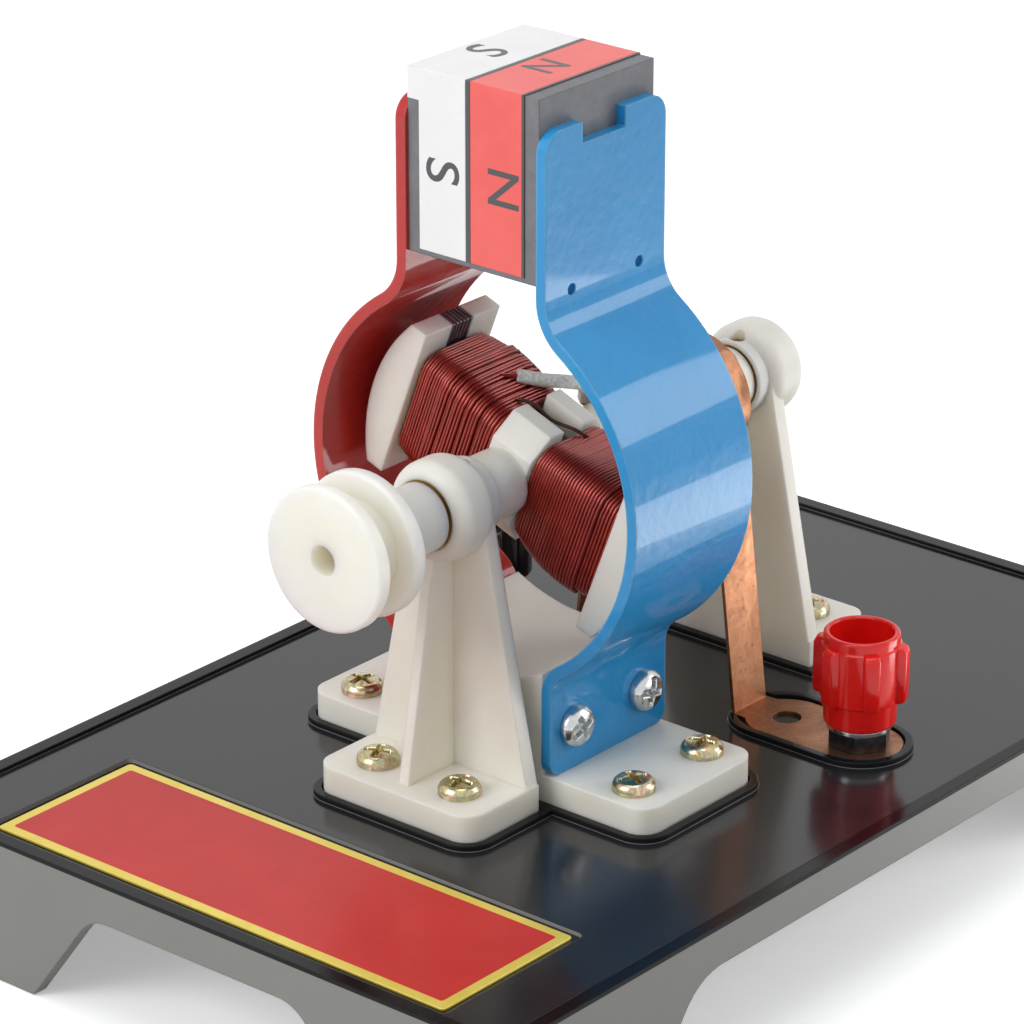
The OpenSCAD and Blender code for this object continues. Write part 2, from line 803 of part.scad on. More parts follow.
// knob with a deep cup in its top, a threaded bore below and ribs on its side
module knob() {
    z = washer_z;
    difference() {
        union() {
            translate([0, 0, z]) cylinder(r = knob_r - 0.3, h = knob_height - 1);
            translate([0, 0, z + knob_height * 0.36]) cylinder(r = knob_r, h = knob_height * 0.5);
            translate([0, 0, z + knob_height - 2.2]) rotate_extrude() {
                square([knob_r - 1, 2.2]);
                square([knob_r - 0.3, 1.6]);
                translate([knob_r - 0.9, 1.6]) circle(0.6);
            }
            for (a = [0 : 60 : 359]) rotate([0, 0, a + 20])
                translate([knob_r - 1, -1.1, z + knob_height * 0.34])
                    cube([2.2, 2.2, knob_height * 0.5]);
        }
        translate([0, 0, z - 1]) cylinder(r = stud_r + 0.04, h = 10);
        translate([0, 0, z + 7.4]) cylinder(r = knob_r - 1.5, h = knob_height);
    }
}

module red_knob() {
    color("#d01818") translate([post_x, post_y, 0]) knob();
}

module black_knob() {
    color("#1e1e20") translate([-post_x, post_y, 0]) knob();
}

// ---------- screws ----------

module foot_screws() {
    color("#c9b47a") at_foot_screws() translate([0, 0, foot_z]) pan_screw(shank_length);
}

module pole_screws() {
    color("#c8ccd0") for (x = [-1, 1], y = [-1, 1])
        translate([x * lower_x, mid_y + y * holder_screw_y, pole_screw_z])
            rotate([0, 90 * x, 0]) pan_screw(shank_length - 1.4);
}

base();
label_plate();
front_bracket();
rear_bracket();
front_bush();
rear_bush();
pole_holder();
blue_pole();
red_pole();
magnet();
magnet_label();
shaft();
pulley();
rotor_frame_front();
rotor_frame_rear();
rotor_core();
coil_a();
coil_b();
commutator_sleeve();
commutator_segment_a();
commutator_segment_b();
coil_lead_a();
coil_lead_b();
red_side_brush();
black_side_brush();
foot_screws();
pole_screws();
terminal_studs();
terminal_nuts();
under_nuts();
red_washer();
black_washer();
red_knob();
black_knob();
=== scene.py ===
"""Looks of a demonstration electric motor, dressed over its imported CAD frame.

Sizes in each section are in millimetres, in the frame of the CAD: +X towards the blue
pole piece, +Y along the shaft away from the pulley, +Z up from the table.
"""

import math
import random

import bmesh
import bpy
from mathutils import Matrix, Vector, noise


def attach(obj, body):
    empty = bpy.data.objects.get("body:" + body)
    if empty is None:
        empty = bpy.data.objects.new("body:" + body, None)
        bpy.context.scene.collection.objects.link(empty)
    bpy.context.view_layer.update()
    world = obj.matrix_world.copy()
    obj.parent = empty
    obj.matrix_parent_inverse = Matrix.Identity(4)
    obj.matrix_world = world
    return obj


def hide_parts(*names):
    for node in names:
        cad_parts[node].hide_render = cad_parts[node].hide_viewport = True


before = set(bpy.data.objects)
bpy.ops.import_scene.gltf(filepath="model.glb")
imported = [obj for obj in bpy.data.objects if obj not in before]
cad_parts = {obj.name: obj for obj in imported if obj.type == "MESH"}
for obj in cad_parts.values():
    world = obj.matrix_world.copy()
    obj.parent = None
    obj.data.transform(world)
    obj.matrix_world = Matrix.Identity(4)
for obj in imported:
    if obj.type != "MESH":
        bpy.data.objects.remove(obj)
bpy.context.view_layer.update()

# ---------- Camera ----------
# A long lens looks down at the pulley's corner of the base. Its place and angle were
# solved from the photograph's own perspective, so no shift is needed.

lens = bpy.data.cameras.new("long_lens")
lens.sensor_width = 36
lens.lens = 170.56
camera = bpy.data.objects.new("camera", lens)
camera.location = (0.37921, -0.46705, 0.30324)
camera.rotation_euler = (math.radians(90 - 22.802), 0, math.radians(40.144))
bpy.context.scene.collection.objects.link(camera)
bpy.context.scene.camera = camera
bpy.context.scene.view_settings.view_transform = "Standard"

# ---------- Studio ----------
# A white sweep under soft boxes that the camera doesn't see: the main one in front of the
# pulley, weaker ones overhead and behind to the right, and a small one low beside the base.
# The white that the camera sees comes from the world's colour.


def linear(code):
    """Linear colour of an sRGB hex code."""
    parts = [int(code[i : i + 2], 16) / 255 for i in (1, 3, 5)]
    return [p / 12.92 if p <= 0.04045 else ((p + 0.055) / 1.055) ** 2.4 for p in parts] + [1]


def add(tree, kind, links=None, **settings):
    """Adds a node. settings are its properties, links its socket values or what feeds them."""
    node = tree.nodes.new("ShaderNode" + kind)
    for name, value in settings.items():
        setattr(node, name, value)
    for socket, value in (links or {}).items():
        if isinstance(value, bpy.types.NodeSocket):
            tree.links.new(value, node.inputs[socket])
        else:
            node.inputs[socket].default_value = value
    return node


world = bpy.data.worlds.new("white_sweep")
world.use_nodes = True
sky = world.node_tree
sky.nodes.clear()
ray = add(sky, "LightPath")
seen = add(sky, "Math", {0: ray.outputs["Is Camera Ray"], 1: ray.outputs["Is Glossy Ray"]},
           operation="MAXIMUM")
seen = add(sky, "Math", {0: seen.outputs[0], 1: ray.outputs["Is Transmission Ray"]},
           operation="MAXIMUM")
fill = add(sky, "Background", {"Color": linear("#f4f6fa"), "Strength": 0.5})
white = add(sky, "Background", {"Color": linear("#ffffff"), "Strength": 1})
mixed = add(sky, "MixShader", {0: seen.outputs[0], 1: fill.outputs[0], 2: white.outputs[0]})
add(sky, "OutputWorld", {"Surface": mixed.outputs[0]})
bpy.context.scene.world = world

motor_middle = Vector((0, 0, 0.06))
SOFT_BOXES = {
    # name: (place and size in metres, watts)
    "front_box": ((-0.25, -0.85, 0.55), 0.55, 5.0),
    "top_box": ((0.05, -0.1, 0.95), 0.6, 2.2),
    "rear_right_box": ((0.62, 0.62, 0.42), 0.32, 1.6),
    "low_right_box": ((0.095, 0.085, 0.012), 0.06, 0.06),
}
for name, (place, size, watts) in SOFT_BOXES.items():
    lamp = bpy.data.lights.new(name, "AREA")
    lamp.size = size
    lamp.energy = watts
    box = bpy.data.objects.new(name, lamp)
    box.location = place
    box.rotation_euler = (Vector(place) - motor_middle).to_track_quat("Z", "Y").to_euler()
    box.visible_camera = False
    bpy.context.scene.collection.objects.link(box)

sheet = bmesh.new()
bmesh.ops.create_grid(sheet, x_segments=1, y_segments=1, size=2.5)
floor_mesh = bpy.data.meshes.new("floor")
sheet.to_mesh(floor_mesh)
sheet.free()
floor = bpy.data.objects.new("floor", floor_mesh)
floor.location = (0, 0, -0.0002)
bpy.context.scene.collection.objects.link(floor)
paper = bpy.data.materials.new("matt_white_paper")
paper.use_nodes = True
tree = paper.node_tree
tree.nodes.clear()
ray = add(tree, "LightPath")
seen = add(tree, "Math", {0: ray.outputs["Is Camera Ray"], 1: ray.outputs["Is Glossy Ray"]},
           operation="MAXIMUM")
tone = add(tree, "Mix", {0: seen.outputs[0], 6: linear("#dddddd"), 7: linear("#ffffff")},
           data_type="RGBA")
flat = add(tree, "BsdfDiffuse", {"Color": tone.outputs[2]})
lift = add(tree, "Math", {0: seen.outputs[0], 1: 0.34}, operation="MULTIPLY")
glow = add(tree, "Emission", {"Color": linear("#ffffff"), "Strength": lift.outputs[0]})
both = add(tree, "AddShader", {0: flat.outputs[0], 1: glow.outputs[0]})
add(tree, "OutputMaterial", {"Surface": both.outputs[0]})
floor_mesh.materials.append(paper)

# ---------- Base ----------
# One black ABS moulding: polished deck, finely matt side walls with a painted grey sheen, a rim
# round the deck and a low ridge round every foot that stands on it.


def finish_of(name, **values):
    """Starts a material; returns it with its tree, its surface shader and the piece's own place."""
    made = bpy.data.materials.new(name)
    made.use_nodes = True
    tree = made.node_tree
    tree.nodes.clear()
    skin = add(tree, "BsdfPrincipled", values)
    add(tree, "OutputMaterial", {"Surface": skin.outputs[0]})
    return made, tree, skin, add(tree, "TexCoord").outputs["Object"]


def per_mm(size):
    """Pattern scale whose features are about this many millimetres wide."""
    return 1000 / size


def relief(tree, skin, height, depth, edge=0.0, strength=1.0):
    """Feeds a height pattern, in millimetres deep, over softened edges into a surface."""
    links = {"Height": height, "Distance": depth / 1000, "Strength": strength}
    if edge:
        links["Normal"] = add(tree, "Bevel", {"Radius": edge / 1000}, samples=6).outputs[0]
    bump = add(tree, "Bump", links)
    tree.links.new(bump.outputs[0], skin.inputs["Normal"])


def dress(material, *nodes):
    """Gives CAD nodes a better material."""
    for name in nodes:
        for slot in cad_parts[name].material_slots:
            slot.material = material


black_abs, tree, skin, place = finish_of("black_abs_moulded", IOR=1.46)
faces = add(tree, "NewGeometry")
upright = add(tree, "SeparateXYZ", {0: faces.outputs["Normal"]})
level = add(tree, "Math", {0: upright.outputs[2], 1: 0.5}, operation="GREATER_THAN")
smudge = add(tree, "TexNoise", {"Vector": place, "Scale": per_mm(38), "Detail": 4,
                                "Roughness": 0.62})
# the side walls are painted mid grey, a painted sheen of the lit white sweep; faces looking up keep
# the near-black deck colour
painted_wall_sheen = add(tree, "Mix", {0: smudge.outputs[0], 6: linear("#74746f"), 7: linear("#888783")},
           data_type="RGBA")
deck = add(tree, "Mix", {0: smudge.outputs[0], 6: linear("#151617"), 7: linear("#29292b")},
           data_type="RGBA")
tone = add(tree, "Mix", {0: level.outputs[0], 6: painted_wall_sheen.outputs[2], 7: deck.outputs[2]},
           data_type="RGBA")
# the rim and the ridges round the feet, above the polished deck, came out dull and deep black
deck_ends, ridge_starts = 0.01993, 0.01998  # heights in metres
height = add(tree, "SeparateXYZ", {0: place})
raised = add(tree, "MapRange", {0: height.outputs[2], 1: deck_ends, 2: ridge_starts, 3: 0, 4: 1})
tone = add(tree, "Mix", {0: raised.outputs[0], 6: tone.outputs[2], 7: linear("#0e0e10")},
           data_type="RGBA")
tree.links.new(tone.outputs[2], skin.inputs["Base Color"])
shine = add(tree, "MapRange", {0: raised.outputs[0], 1: 0, 2: 1, 3: 0.5, 4: 0.2})
tree.links.new(shine.outputs[0], skin.inputs["Specular IOR Level"])
grain = add(tree, "TexNoise", {"Vector": place, "Scale": per_mm(0.5), "Detail": 2})
dull = add(tree, "MapRange", {0: level.outputs[0], 1: 0, 2: 1, 3: 0.5, 4: 0.12})
worn = add(tree, "MapRange", {0: smudge.outputs[0], 1: 0.35, 2: 0.75, 3: 0, 4: 0.09})
rough = add(tree, "Math", {0: dull.outputs[0], 1: worn.outputs[0]}, operation="ADD")
tree.links.new(rough.outputs[0], skin.inputs["Roughness"])
relief(tree, skin, grain.outputs[0], 0.01, edge=0.35, strength=0.35)
dress(black_abs, "base")

# ---------- Finish of the white mouldings ----------
# Natural nylon, injection moulded: ivory and slightly translucent, half matt, with faint
# flow marks. Brackets, pole holder, rotor halves and commutator sleeve are all made of it.

nylon, tree, skin, place = finish_of(
    "natural_nylon_moulded", IOR=1.53, Roughness=0.42, **{
        "Subsurface Weight": 0.55, "Subsurface Radius": (1.0, 0.88, 0.66),
        "Subsurface Scale": 0.004})
flow = add(tree, "TexNoise", {"Vector": place, "Scale": per_mm(9), "Detail": 5, "Roughness": 0.6,
                              "Distortion": 0.8})
tone = add(tree, "Mix", {0: flow.outputs[0], 6: linear("#e2ddcf"), 7: linear("#f0ede4")},
           data_type="RGBA")
tree.links.new(tone.outputs[2], skin.inputs["Base Color"])
skin_grain = add(tree, "TexNoise", {"Vector": place, "Scale": per_mm(1.1), "Detail": 3})
relief(tree, skin, skin_grain.outputs[0], 0.025, edge=0.45, strength=0.4)
dress(nylon, "front_bracket", "rear_bracket", "pole_holder", "rotor_frame_front",
      "rotor_frame_rear", "commutator_sleeve")

# ---------- Label plate ----------
# Thin tinplate pressed into a shallow bed at the pulley end, lacquered red inside a plain
# gold border. The lacquer is glossy and slightly rubbed.


def shown(name, form, material, body, smooth=38):
    """Turns a bmesh drawn in millimetres into a piece that rides on a body."""
    bmesh.ops.scale(form, vec=(0.001, 0.001, 0.001), verts=form.verts)
    bmesh.ops.recalc_face_normals(form, faces=form.faces)
    made = bpy.data.meshes.new(name)
    form.to_mesh(made)
    form.free()
    made.materials.append(material)
    made.shade_smooth()
    made.set_sharp_from_angle(angle=math.radians(smooth))
    piece = bpy.data.objects.new(name, made)
    bpy.context.scene.collection.objects.link(piece)
    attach(piece, body)
    return piece


def soften(piece, width, segments=2, angle=32):
    """Rounds a piece's edges with a small bevel."""
    mod = piece.modifiers.new("soft_edges", "BEVEL")
    mod.width = width / 1000
    mod.segments = segments
    mod.limit_method = "ANGLE"
    mod.angle_limit = math.radians(angle)
    mod.use_clamp_overlap = True
    mod.harden_normals = True


def corner_points(x, y, r, steps=6):
    """Outline of a rectangle with round corners, counterclockwise."""
    points = []
    for turn, (i, j) in enumerate([(1, 1), (-1, 1), (-1, -1), (1, -1)]):
        for step in range(steps + 1):
            a = math.radians(90 * turn + 90 * step / steps)
            points.append((i * (x / 2 - r) + r * math.cos(a), j * (y / 2 - r) + r * math.sin(a)))
    return points


def slab(form, outline, z0, z1, turn=Matrix()):
    """Adds a flat solid with the given outline between two heights."""
    low = [form.verts.new(turn @ Vector((x, y, z0))) for x, y in outline]
    high = [form.verts.new(turn @ Vector((x, y, z1))) for x, y in outline]
    form.faces.new(low[::-1])
    form.faces.new(high)
    for i in range(len(low)):
        k = (i + 1) % len(low)
        form.faces.new((low[i], low[k], high[k], high[i]))


plate_x, plate_y, plate_t, plate_top = 77, 24.8, 0.4, 19.8
border = 1.5
lacquer_t = 0.03
plate_at = Matrix.Translation((0, -63.6, 0))

gold, tree, skin, place = finish_of("gold_lacquered_tinplate", Metallic=0.35, Roughness=0.34)
rub = add(tree, "TexNoise", {"Vector": place, "Scale": per_mm(6), "Detail": 6, "Roughness": 0.7})
tone = add(tree, "Mix", {0: rub.outputs[0], 6: linear("#d9b92e"), 7: linear("#f8e67a")},
           data_type="RGBA")
tree.links.new(tone.outputs[2], skin.inputs["Base Color"])
relief(tree, skin, rub.outputs[0], 0.03, strength=0.5)

red_lacquer, tree, skin, place = finish_of(
    "red_lacquered_tinplate", Roughness=0.4, IOR=1.36, **{
        "Coat Weight": 0.12, "Coat Roughness": 0.12})
rub = add(tree, "TexNoise", {"Vector": place, "Scale": per_mm(14), "Detail": 6, "Roughness": 0.65,
                             "Distortion": 0.6})
tone = add(tree, "Mix", {0: rub.outputs[0], 6: linear("#ad1716"), 7: linear("#cf2f2b")},
           data_type="RGBA")
tree.links.new(tone.outputs[2], skin.inputs["Base Color"])
relief(tree, skin, rub.outputs[0], 0.04, strength=0.6)

form = bmesh.new()
slab(form, corner_points(plate_x, plate_y, 0.6), plate_top - plate_t, plate_top, plate_at)
tin = shown("label_tinplate", form, gold, "stand")
soften(tin, 0.12)
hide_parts("label_plate")
form = bmesh.new()
slab(form, corner_points(plate_x - 2 * border, plate_y - 2 * border, 0.4), plate_top - 0.05,
     plate_top + lacquer_t, plate_at)
field = shown("label_red_field", form, red_lacquer, "stand")

# ---------- Bushes ----------
# Sintered brass bushes pressed into the bosses, turned on their ends and a little oily.

brass, tree, skin, place = finish_of("sintered_brass", Metallic=1, Roughness=0.34)
oil = add(tree, "TexNoise", {"Vector": place, "Scale": per_mm(2.2), "Detail": 4})
tone = add(tree, "Mix", {0: oil.outputs[0], 6: linear("#7c5a26"), 7: linear("#c79f57")},
           data_type="RGBA")
tree.links.new(tone.outputs[2], skin.inputs["Base Color"])
pores = add(tree, "TexNoise", {"Vector": place, "Scale": per_mm(0.3), "Detail": 2})
relief(tree, skin, pores.outputs[0], 0.01, edge=0.15, strength=0.5)
dress(brass, "front_bush", "rear_bush")

# ---------- Pole pieces ----------
# Mild steel strip, bent round the rotor and stove enamelled: blue for the north pole, red for
# the south. The enamel is thick and glossy, with an orange-peel surface; its edges carry a painted
# highlight.

for name, node, deep, bright, edge in (
    # the last colour of each is the painted highlight for its edges
    ("blue_stove_enamel", "blue_pole", "#0c80bd", "#2a9ad6", "#86c4e6"),
    ("red_stove_enamel", "red_pole", "#a81a17", "#c22a24", "#d47066"),
):
    enamel, tree, skin, place = finish_of(
        name, Roughness=0.42, **{"Coat Weight": 0.5, "Coat Roughness": 0.06, "IOR": 1.33})
    drift = add(tree, "TexNoise", {"Vector": place, "Scale": per_mm(16), "Detail": 4,
                                   "Roughness": 0.55})
    tone = add(tree, "Mix", {0: drift.outputs[0], 6: linear(deep), 7: linear(bright)},
               data_type="RGBA")
    # a pale painted highlight along every edge, found where a rounded normal leaves the flat one
    rounded = add(tree, "Bevel", {"Radius": 0.00045}, samples=6)
    turned_by = add(tree, "VectorMath", {0: rounded.outputs[0],
                                         1: add(tree, "NewGeometry").outputs["Normal"]},
                    operation="DOT_PRODUCT")
    painted_edge_glint = add(tree, "MapRange", {0: turned_by.outputs["Value"], 1: 0.995, 2: 0.86, 3: 0, 4: 0.6})
    tone = add(tree, "Mix", {0: painted_edge_glint.outputs[0], 6: tone.outputs[2], 7: linear(edge)},
               data_type="RGBA")
    tree.links.new(tone.outputs[2], skin.inputs["Base Color"])
    # orange peel has bumps about 1.5 mm wide; a coarser ripple lies under it
    peel = add(tree, "TexNoise", {"Vector": place, "Scale": per_mm(1.5), "Detail": 1.5})
    ripple = add(tree, "TexNoise", {"Vector": place, "Scale": per_mm(5), "Detail": 2})
    both = add(tree, "Math", {0: ripple.outputs[0], 1: 1.6, 2: peel.outputs[0]},
               operation="MULTIPLY_ADD")
    relief(tree, skin, both.outputs[0], 0.14, edge=0.5, strength=0.95)
    dress(enamel, node)

# ---------- Magnet ----------
# A block of sintered ferrite with ground faces, dark grey and dry. It is held between the
# ends of the pole pieces by its own pull.

ferrite, tree, skin, place = finish_of("sintered_ferrite", Roughness=0.55)
dust = add(tree, "TexNoise", {"Vector": place, "Scale": per_mm(3), "Detail": 6, "Roughness": 0.7})
tone = add(tree, "Mix", {0: dust.outputs[0], 6: linear("#5a5a5e"), 7: linear("#86868a")},
           data_type="RGBA")
tree.links.new(tone.outputs[2], skin.inputs["Base Color"])
# grinding lines run along the shaft, about 0.35 mm apart
lay = add(tree, "Mapping", {"Vector": place, "Scale": (1, 0.04, 1)})
lines = add(tree, "TexNoise", {"Vector": lay.outputs[0], "Scale": per_mm(0.35), "Detail": 2})
relief(tree, skin, lines.outputs[0], 0.02, edge=0.35, strength=0.7)
dress(ferrite, "magnet")

# ---------- Magnet label ----------
# A printed plastic band folded over the front, the top and the rear of the magnet: white
# half for S, red half for N, a dark line between them and one down the red half's edge. A
# generic pole letter is on each half of each face.

band_y, band_l, band_z0, band_z1 = -13.7, 23.2, 92.8, 117.1
band_t = 0.2
band_y0, band_y1 = band_y - band_l / 2, band_y + band_l / 2
print_t = 0.01
COLUMNS = (
    # x0, x1, colour
    (-8.9, -1.1, "#f1f0f0"), (-1.1, -0.3, "#3d3d40"), (-0.3, 8.2, "#f4544f"),
    (8.2, 8.6, "#3d3d40"),
)


def band_finish(name, code, other):
    """Printed plastic film: smooth, softly glossy, with faint handling marks."""
    made, tree, skin, place = finish_of(
        name, Roughness=0.4, **{"Coat Weight": 0.3, "Coat Roughness": 0.2})
    marks = add(tree, "TexNoise", {"Vector": place, "Scale": per_mm(7), "Detail": 6,
                                   "Roughness": 0.7})
    tone = add(tree, "Mix", {0: marks.outputs[0], 6: linear(code), 7: linear(other)},
               data_type="RGBA")
    tree.links.new(tone.outputs[2], skin.inputs["Base Color"])
    relief(tree, skin, marks.outputs[0], 0.04, strength=0.5)
    return made


PRINT = {
    "#f1f0f0": band_finish("white_print_on_film", "#e6e5e5", "#f8f7f7"),
    "#f4544f": band_finish("red_print_on_film", "#e24642", "#f76a62"),
    "#3d3d40": band_finish("dark_print_on_film", "#333336", "#454548"),
}
outer = [(band_y0, band_z0), (band_y0, band_z1), (band_y1, band_z1), (band_y1, band_z0)]
inner = [(band_y1 - band_t, band_z0), (band_y1 - band_t, band_z1 - band_t),
         (band_y0 + band_t, band_z1 - band_t), (band_y0 + band_t, band_z0)]
for number, (x0, x1, code) in enumerate(COLUMNS):
    form = bmesh.new()
    ends = []
    for x in (x0, x1):
        ends.append([form.verts.new((x, y, z)) for y, z in outer + inner])
    for i in range(len(ends[0])):
        k = (i + 1) % len(ends[0])
        form.faces.new((ends[0][i], ends[0][k], ends[1][k], ends[1][i]))
    for row in ends:
        for a, b, c, d in ((0, 1, 6, 7), (1, 2, 5, 6), (2, 3, 4, 5)):
            form.faces.new([row[i] for i in (a, b, c, d)])
    strip = shown(f"magnet_band_{number}", form, PRINT[code], "stand")
    soften(strip, 0.09, angle=60)
    if number == 0:
        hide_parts("magnet_label")

# the white half is cut wider on top, and its corner is folded down over the front edge
flap_x0, flap_x1, flap_top = -10.8, -8.85, band_z1 - 0.04
form = bmesh.new()
for y0, y1, z0 in ((band_y - 11.4, band_y + 11.4, band_z1 - band_t),
                   (band_y - 11.55, band_y - 11.38, band_z1 - 4.3)):
    slab(form, [(flap_x0, y0), (flap_x1, y0), (flap_x1, y1), (flap_x0, y1)], z0, flap_top)
flap = shown("magnet_band_flap", form, PRINT["#f1f0f0"], "stand")

for letter, size, middle, facing in (
    ("S", 7.8, (-5.2, band_y0 - print_t, 104.1), "front"),
    ("N", 7.3, (4.9, band_y0 - print_t, 103.9), "front"),
    ("S", 8.3, (-6.6, -14.2, band_z1 + print_t), "top"),
    ("N", 6.9, (3.3, -14.3, band_z1 + print_t), "top"),
    ("S", 7.8, (-5.2, band_y1 + print_t, 104.1), "rear"),
    ("N", 7.3, (4.9, band_y1 + print_t, 103.9), "rear"),
):
    words = bpy.data.curves.new(f"pole_letter_{letter}_{facing}", "FONT")
    words.body = letter
    words.size = size / 1000
    words.align_x, words.align_y = "CENTER", "CENTER"
    words.extrude = print_t / 1000
    words.offset = 0.00005  # a bolder stroke than the font's own
    words.materials.append(PRINT["#3d3d40"])
    print_of = bpy.data.objects.new(words.name, words)
    print_of.location = Vector(middle) / 1000
    turn = {"front": (90, 90, 0), "top": (0, 0, 90), "rear": (90, 90, 180)}[facing]
    print_of.rotation_euler = [math.radians(t) for t in turn]
    bpy.context.scene.collection.objects.link(print_of)
    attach(print_of, "stand")

# ---------- Shaft and pulley ----------
# A ground steel shaft runs through both bushes. The pulley is moulded in a creamier nylon and
# pressed on it, so its bore shows as a blind hollow in the front. The nuts under the deck have
# the shaft's finish.

steel, tree, skin, place = finish_of("ground_steel", Metallic=1, Roughness=0.28)
rings = add(tree, "Mapping", {"Vector": place, "Scale": (0.1, 1, 0.1)})
marks = add(tree, "TexNoise", {"Vector": rings.outputs[0], "Scale": per_mm(0.3), "Detail": 3})
tone = add(tree, "Mix", {0: marks.outputs[0], 6: linear("#8f9296"), 7: linear("#c4c7ca")},
           data_type="RGBA")
tree.links.new(tone.outputs[2], skin.inputs["Base Color"])
relief(tree, skin, marks.outputs[0], 0.01, edge=0.2, strength=0.5)
dress(steel, "shaft", "under_nuts")

cream, tree, skin, place = finish_of(
    "cream_nylon_moulded", IOR=1.53, Roughness=0.38, **{
        "Subsurface Weight": 0.9, "Subsurface Radius": (1.0, 0.9, 0.62),
        "Subsurface Scale": 0.007})
flow = add(tree, "TexNoise", {"Vector": place, "Scale": per_mm(6), "Detail": 5, "Roughness": 0.6})
tone = add(tree, "Mix", {0: flow.outputs[0], 6: linear("#efe9d6"), 7: linear("#f7f4ea")},
           data_type="RGBA")
tree.links.new(tone.outputs[2], skin.inputs["Base Color"])
fine = add(tree, "TexNoise", {"Vector": place, "Scale": per_mm(0.8), "Detail": 3})
relief(tree, skin, fine.outputs[0], 0.02, edge=0.4, strength=0.35)
dress(cream, "pulley")

# ---------- Rotor sheets ----------
# Six stamped electrical-steel sheets make the rotor's core. Their blued edges show between
# the two nylon halves at each shoe.

rotor_middle = (0, -12.2, 61.1)
arm_turn = math.radians(-159)
arm_frame = Matrix.Translation(rotor_middle) @ Matrix.Rotation(arm_turn, 4, "Y")
rotor_r, shoe_start, shoe_half = 23.7, 18.1, 11.4
hub_wide, hub_tall, arm_half = 3.4, 5.0, 4.0

blued, tree, skin, place = finish_of("blued_electrical_steel", Metallic=0.9, Roughness=0.33)
scale_marks = add(tree, "TexNoise", {"Vector": place, "Scale": per_mm(1.8), "Detail": 5})
tone = add(tree, "Mix", {0: scale_marks.outputs[0], 6: linear("#43474d"), 7: linear("#989da3")},
           data_type="RGBA")
tree.links.new(tone.outputs[2], skin.inputs["Base Color"])
relief(tree, skin, scale_marks.outputs[0], 0.02, strength=0.6)

quarter = [(hub_wide, hub_tall), (hub_wide, arm_half), (shoe_start, arm_half),
           (shoe_start, shoe_half)]
reach = math.asin(shoe_half / rotor_r)
arc = [(rotor_r * math.cos(reach * k / 9), rotor_r * math.sin(reach * k / 9))
       for k in range(9, -1, -1)]
right = quarter + arc
right += [(x, -y) for x, y in right[-2::-1]]
outline = right + [(-x, -y) for x, y in right]
form = bmesh.new()
sheets, stack, seam = 6, 4.2, 0.1
upright = Matrix.Rotation(math.radians(90), 4, "X")
for number in range(sheets):
    y0 = -stack / 2 + number * stack / sheets + seam
    shrink = 1 - 0.0012 * (number % 3)  # no two neighbours are stamped to quite one size
    slab(form, [(x * shrink, y * shrink) for x, y in outline], y0, y0 + stack / sheets - 2 * seam,
         arm_frame @ upright)
core = shown("rotor_sheets", form, blued, "rotor", smooth=30)
soften(core, 0.06)
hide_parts("rotor_core")

# ---------- Coils ----------
# Enamelled copper wire wound round each arm, 29 turns to a full layer. The top layer is not
# full, so grooves show between some of its turns, over an inner solid in painted shade.

wire_r = 0.232
pitch = 0.485
coil_start, coil_end = 3.6, 17.6
corner_r = 2.4


def coil_half(u):
    """Half depth and half height of the winding at a place along its arm."""

    def swell(begins, length):
        """How full the winding is here, from 0 at both ends to 1 half way along its bulge."""
        return math.sin(math.pi * min(max((u - begins) / length, 0), 1))

    return 5.75 + 1.35 * swell(1.5, 18.5), 5.9 + 2.4 * swell(1.0, 24)


enamelled, tree, skin, place = finish_of(
    "enamelled_copper_wire", Metallic=0.45, Roughness=0.32, **{
        "Coat Weight": 0.45, "Coat Roughness": 0.15})
patch = add(tree, "TexNoise", {"Vector": place, "Scale": per_mm(2.5), "Detail": 4})
tone = add(tree, "Mix", {0: patch.outputs[0], 6: linear("#6f1510"), 7: linear("#b8382a")},
           data_type="RGBA")
tree.links.new(tone.outputs[2], skin.inputs["Base Color"])
relief(tree, skin, patch.outputs[0], 0.02, strength=0.4)

# the turns under the outer wire are one solid painted nearly black: painted shade between and under
# the turns
shadowed, tree, skin, place = finish_of("inner_turns_in_painted_shade", Metallic=0.3, Roughness=0.5)
lay = add(tree, "Mapping", {"Vector": place, "Rotation": (0, -arm_turn, 0),
                            "Scale": (1, 0.05, 0.05)})
turns = add(tree, "TexNoise", {"Vector": lay.outputs[0], "Scale": per_mm(pitch), "Detail": 1})
tone = add(tree, "Mix", {0: turns.outputs[0], 6: linear("#1d0806"), 7: linear("#4a1712")},
           data_type="RGBA")
tree.links.new(tone.outputs[2], skin.inputs["Base Color"])
relief(tree, skin, turns.outputs[0], 0.1, strength=0.8)


def turn_point(t, half_y, half_z, r):
    """Point on a rounded rectangle in the YZ plane; t runs from 0 to 1 round it."""
    straight_y, straight_z = 2 * (half_y - r), 2 * (half_z - r)
    bend = math.pi * r / 2
    left = t % 1 * (2 * straight_y + 2 * straight_z + 4 * bend)
    corners = ((1, -1, 0), (1, 1, 90), (-1, 1, 180), (-1, -1, 270))
    runs = ((straight_z, (half_y, -half_z + r), (0, 1)),
            (straight_y, (half_y - r, half_z), (-1, 0)),
            (straight_z, (-half_y, half_z - r), (0, -1)),
            (straight_y, (-half_y + r, -half_z), (1, 0)))
    for (run, (y, z), (dy, dz)), (i, j, a0) in zip(runs, corners[1:] + corners[:1]):
        if left <= run:
            return y + dy * left, z + dz * left
        left -= run
        if left <= bend:
            a = math.radians(a0 - 90) + left / r
            return (i * (half_y - r) + r * math.cos(a), j * (half_z - r) + r * math.sin(a))
        left -= bend
    return half_y, -half_z + r


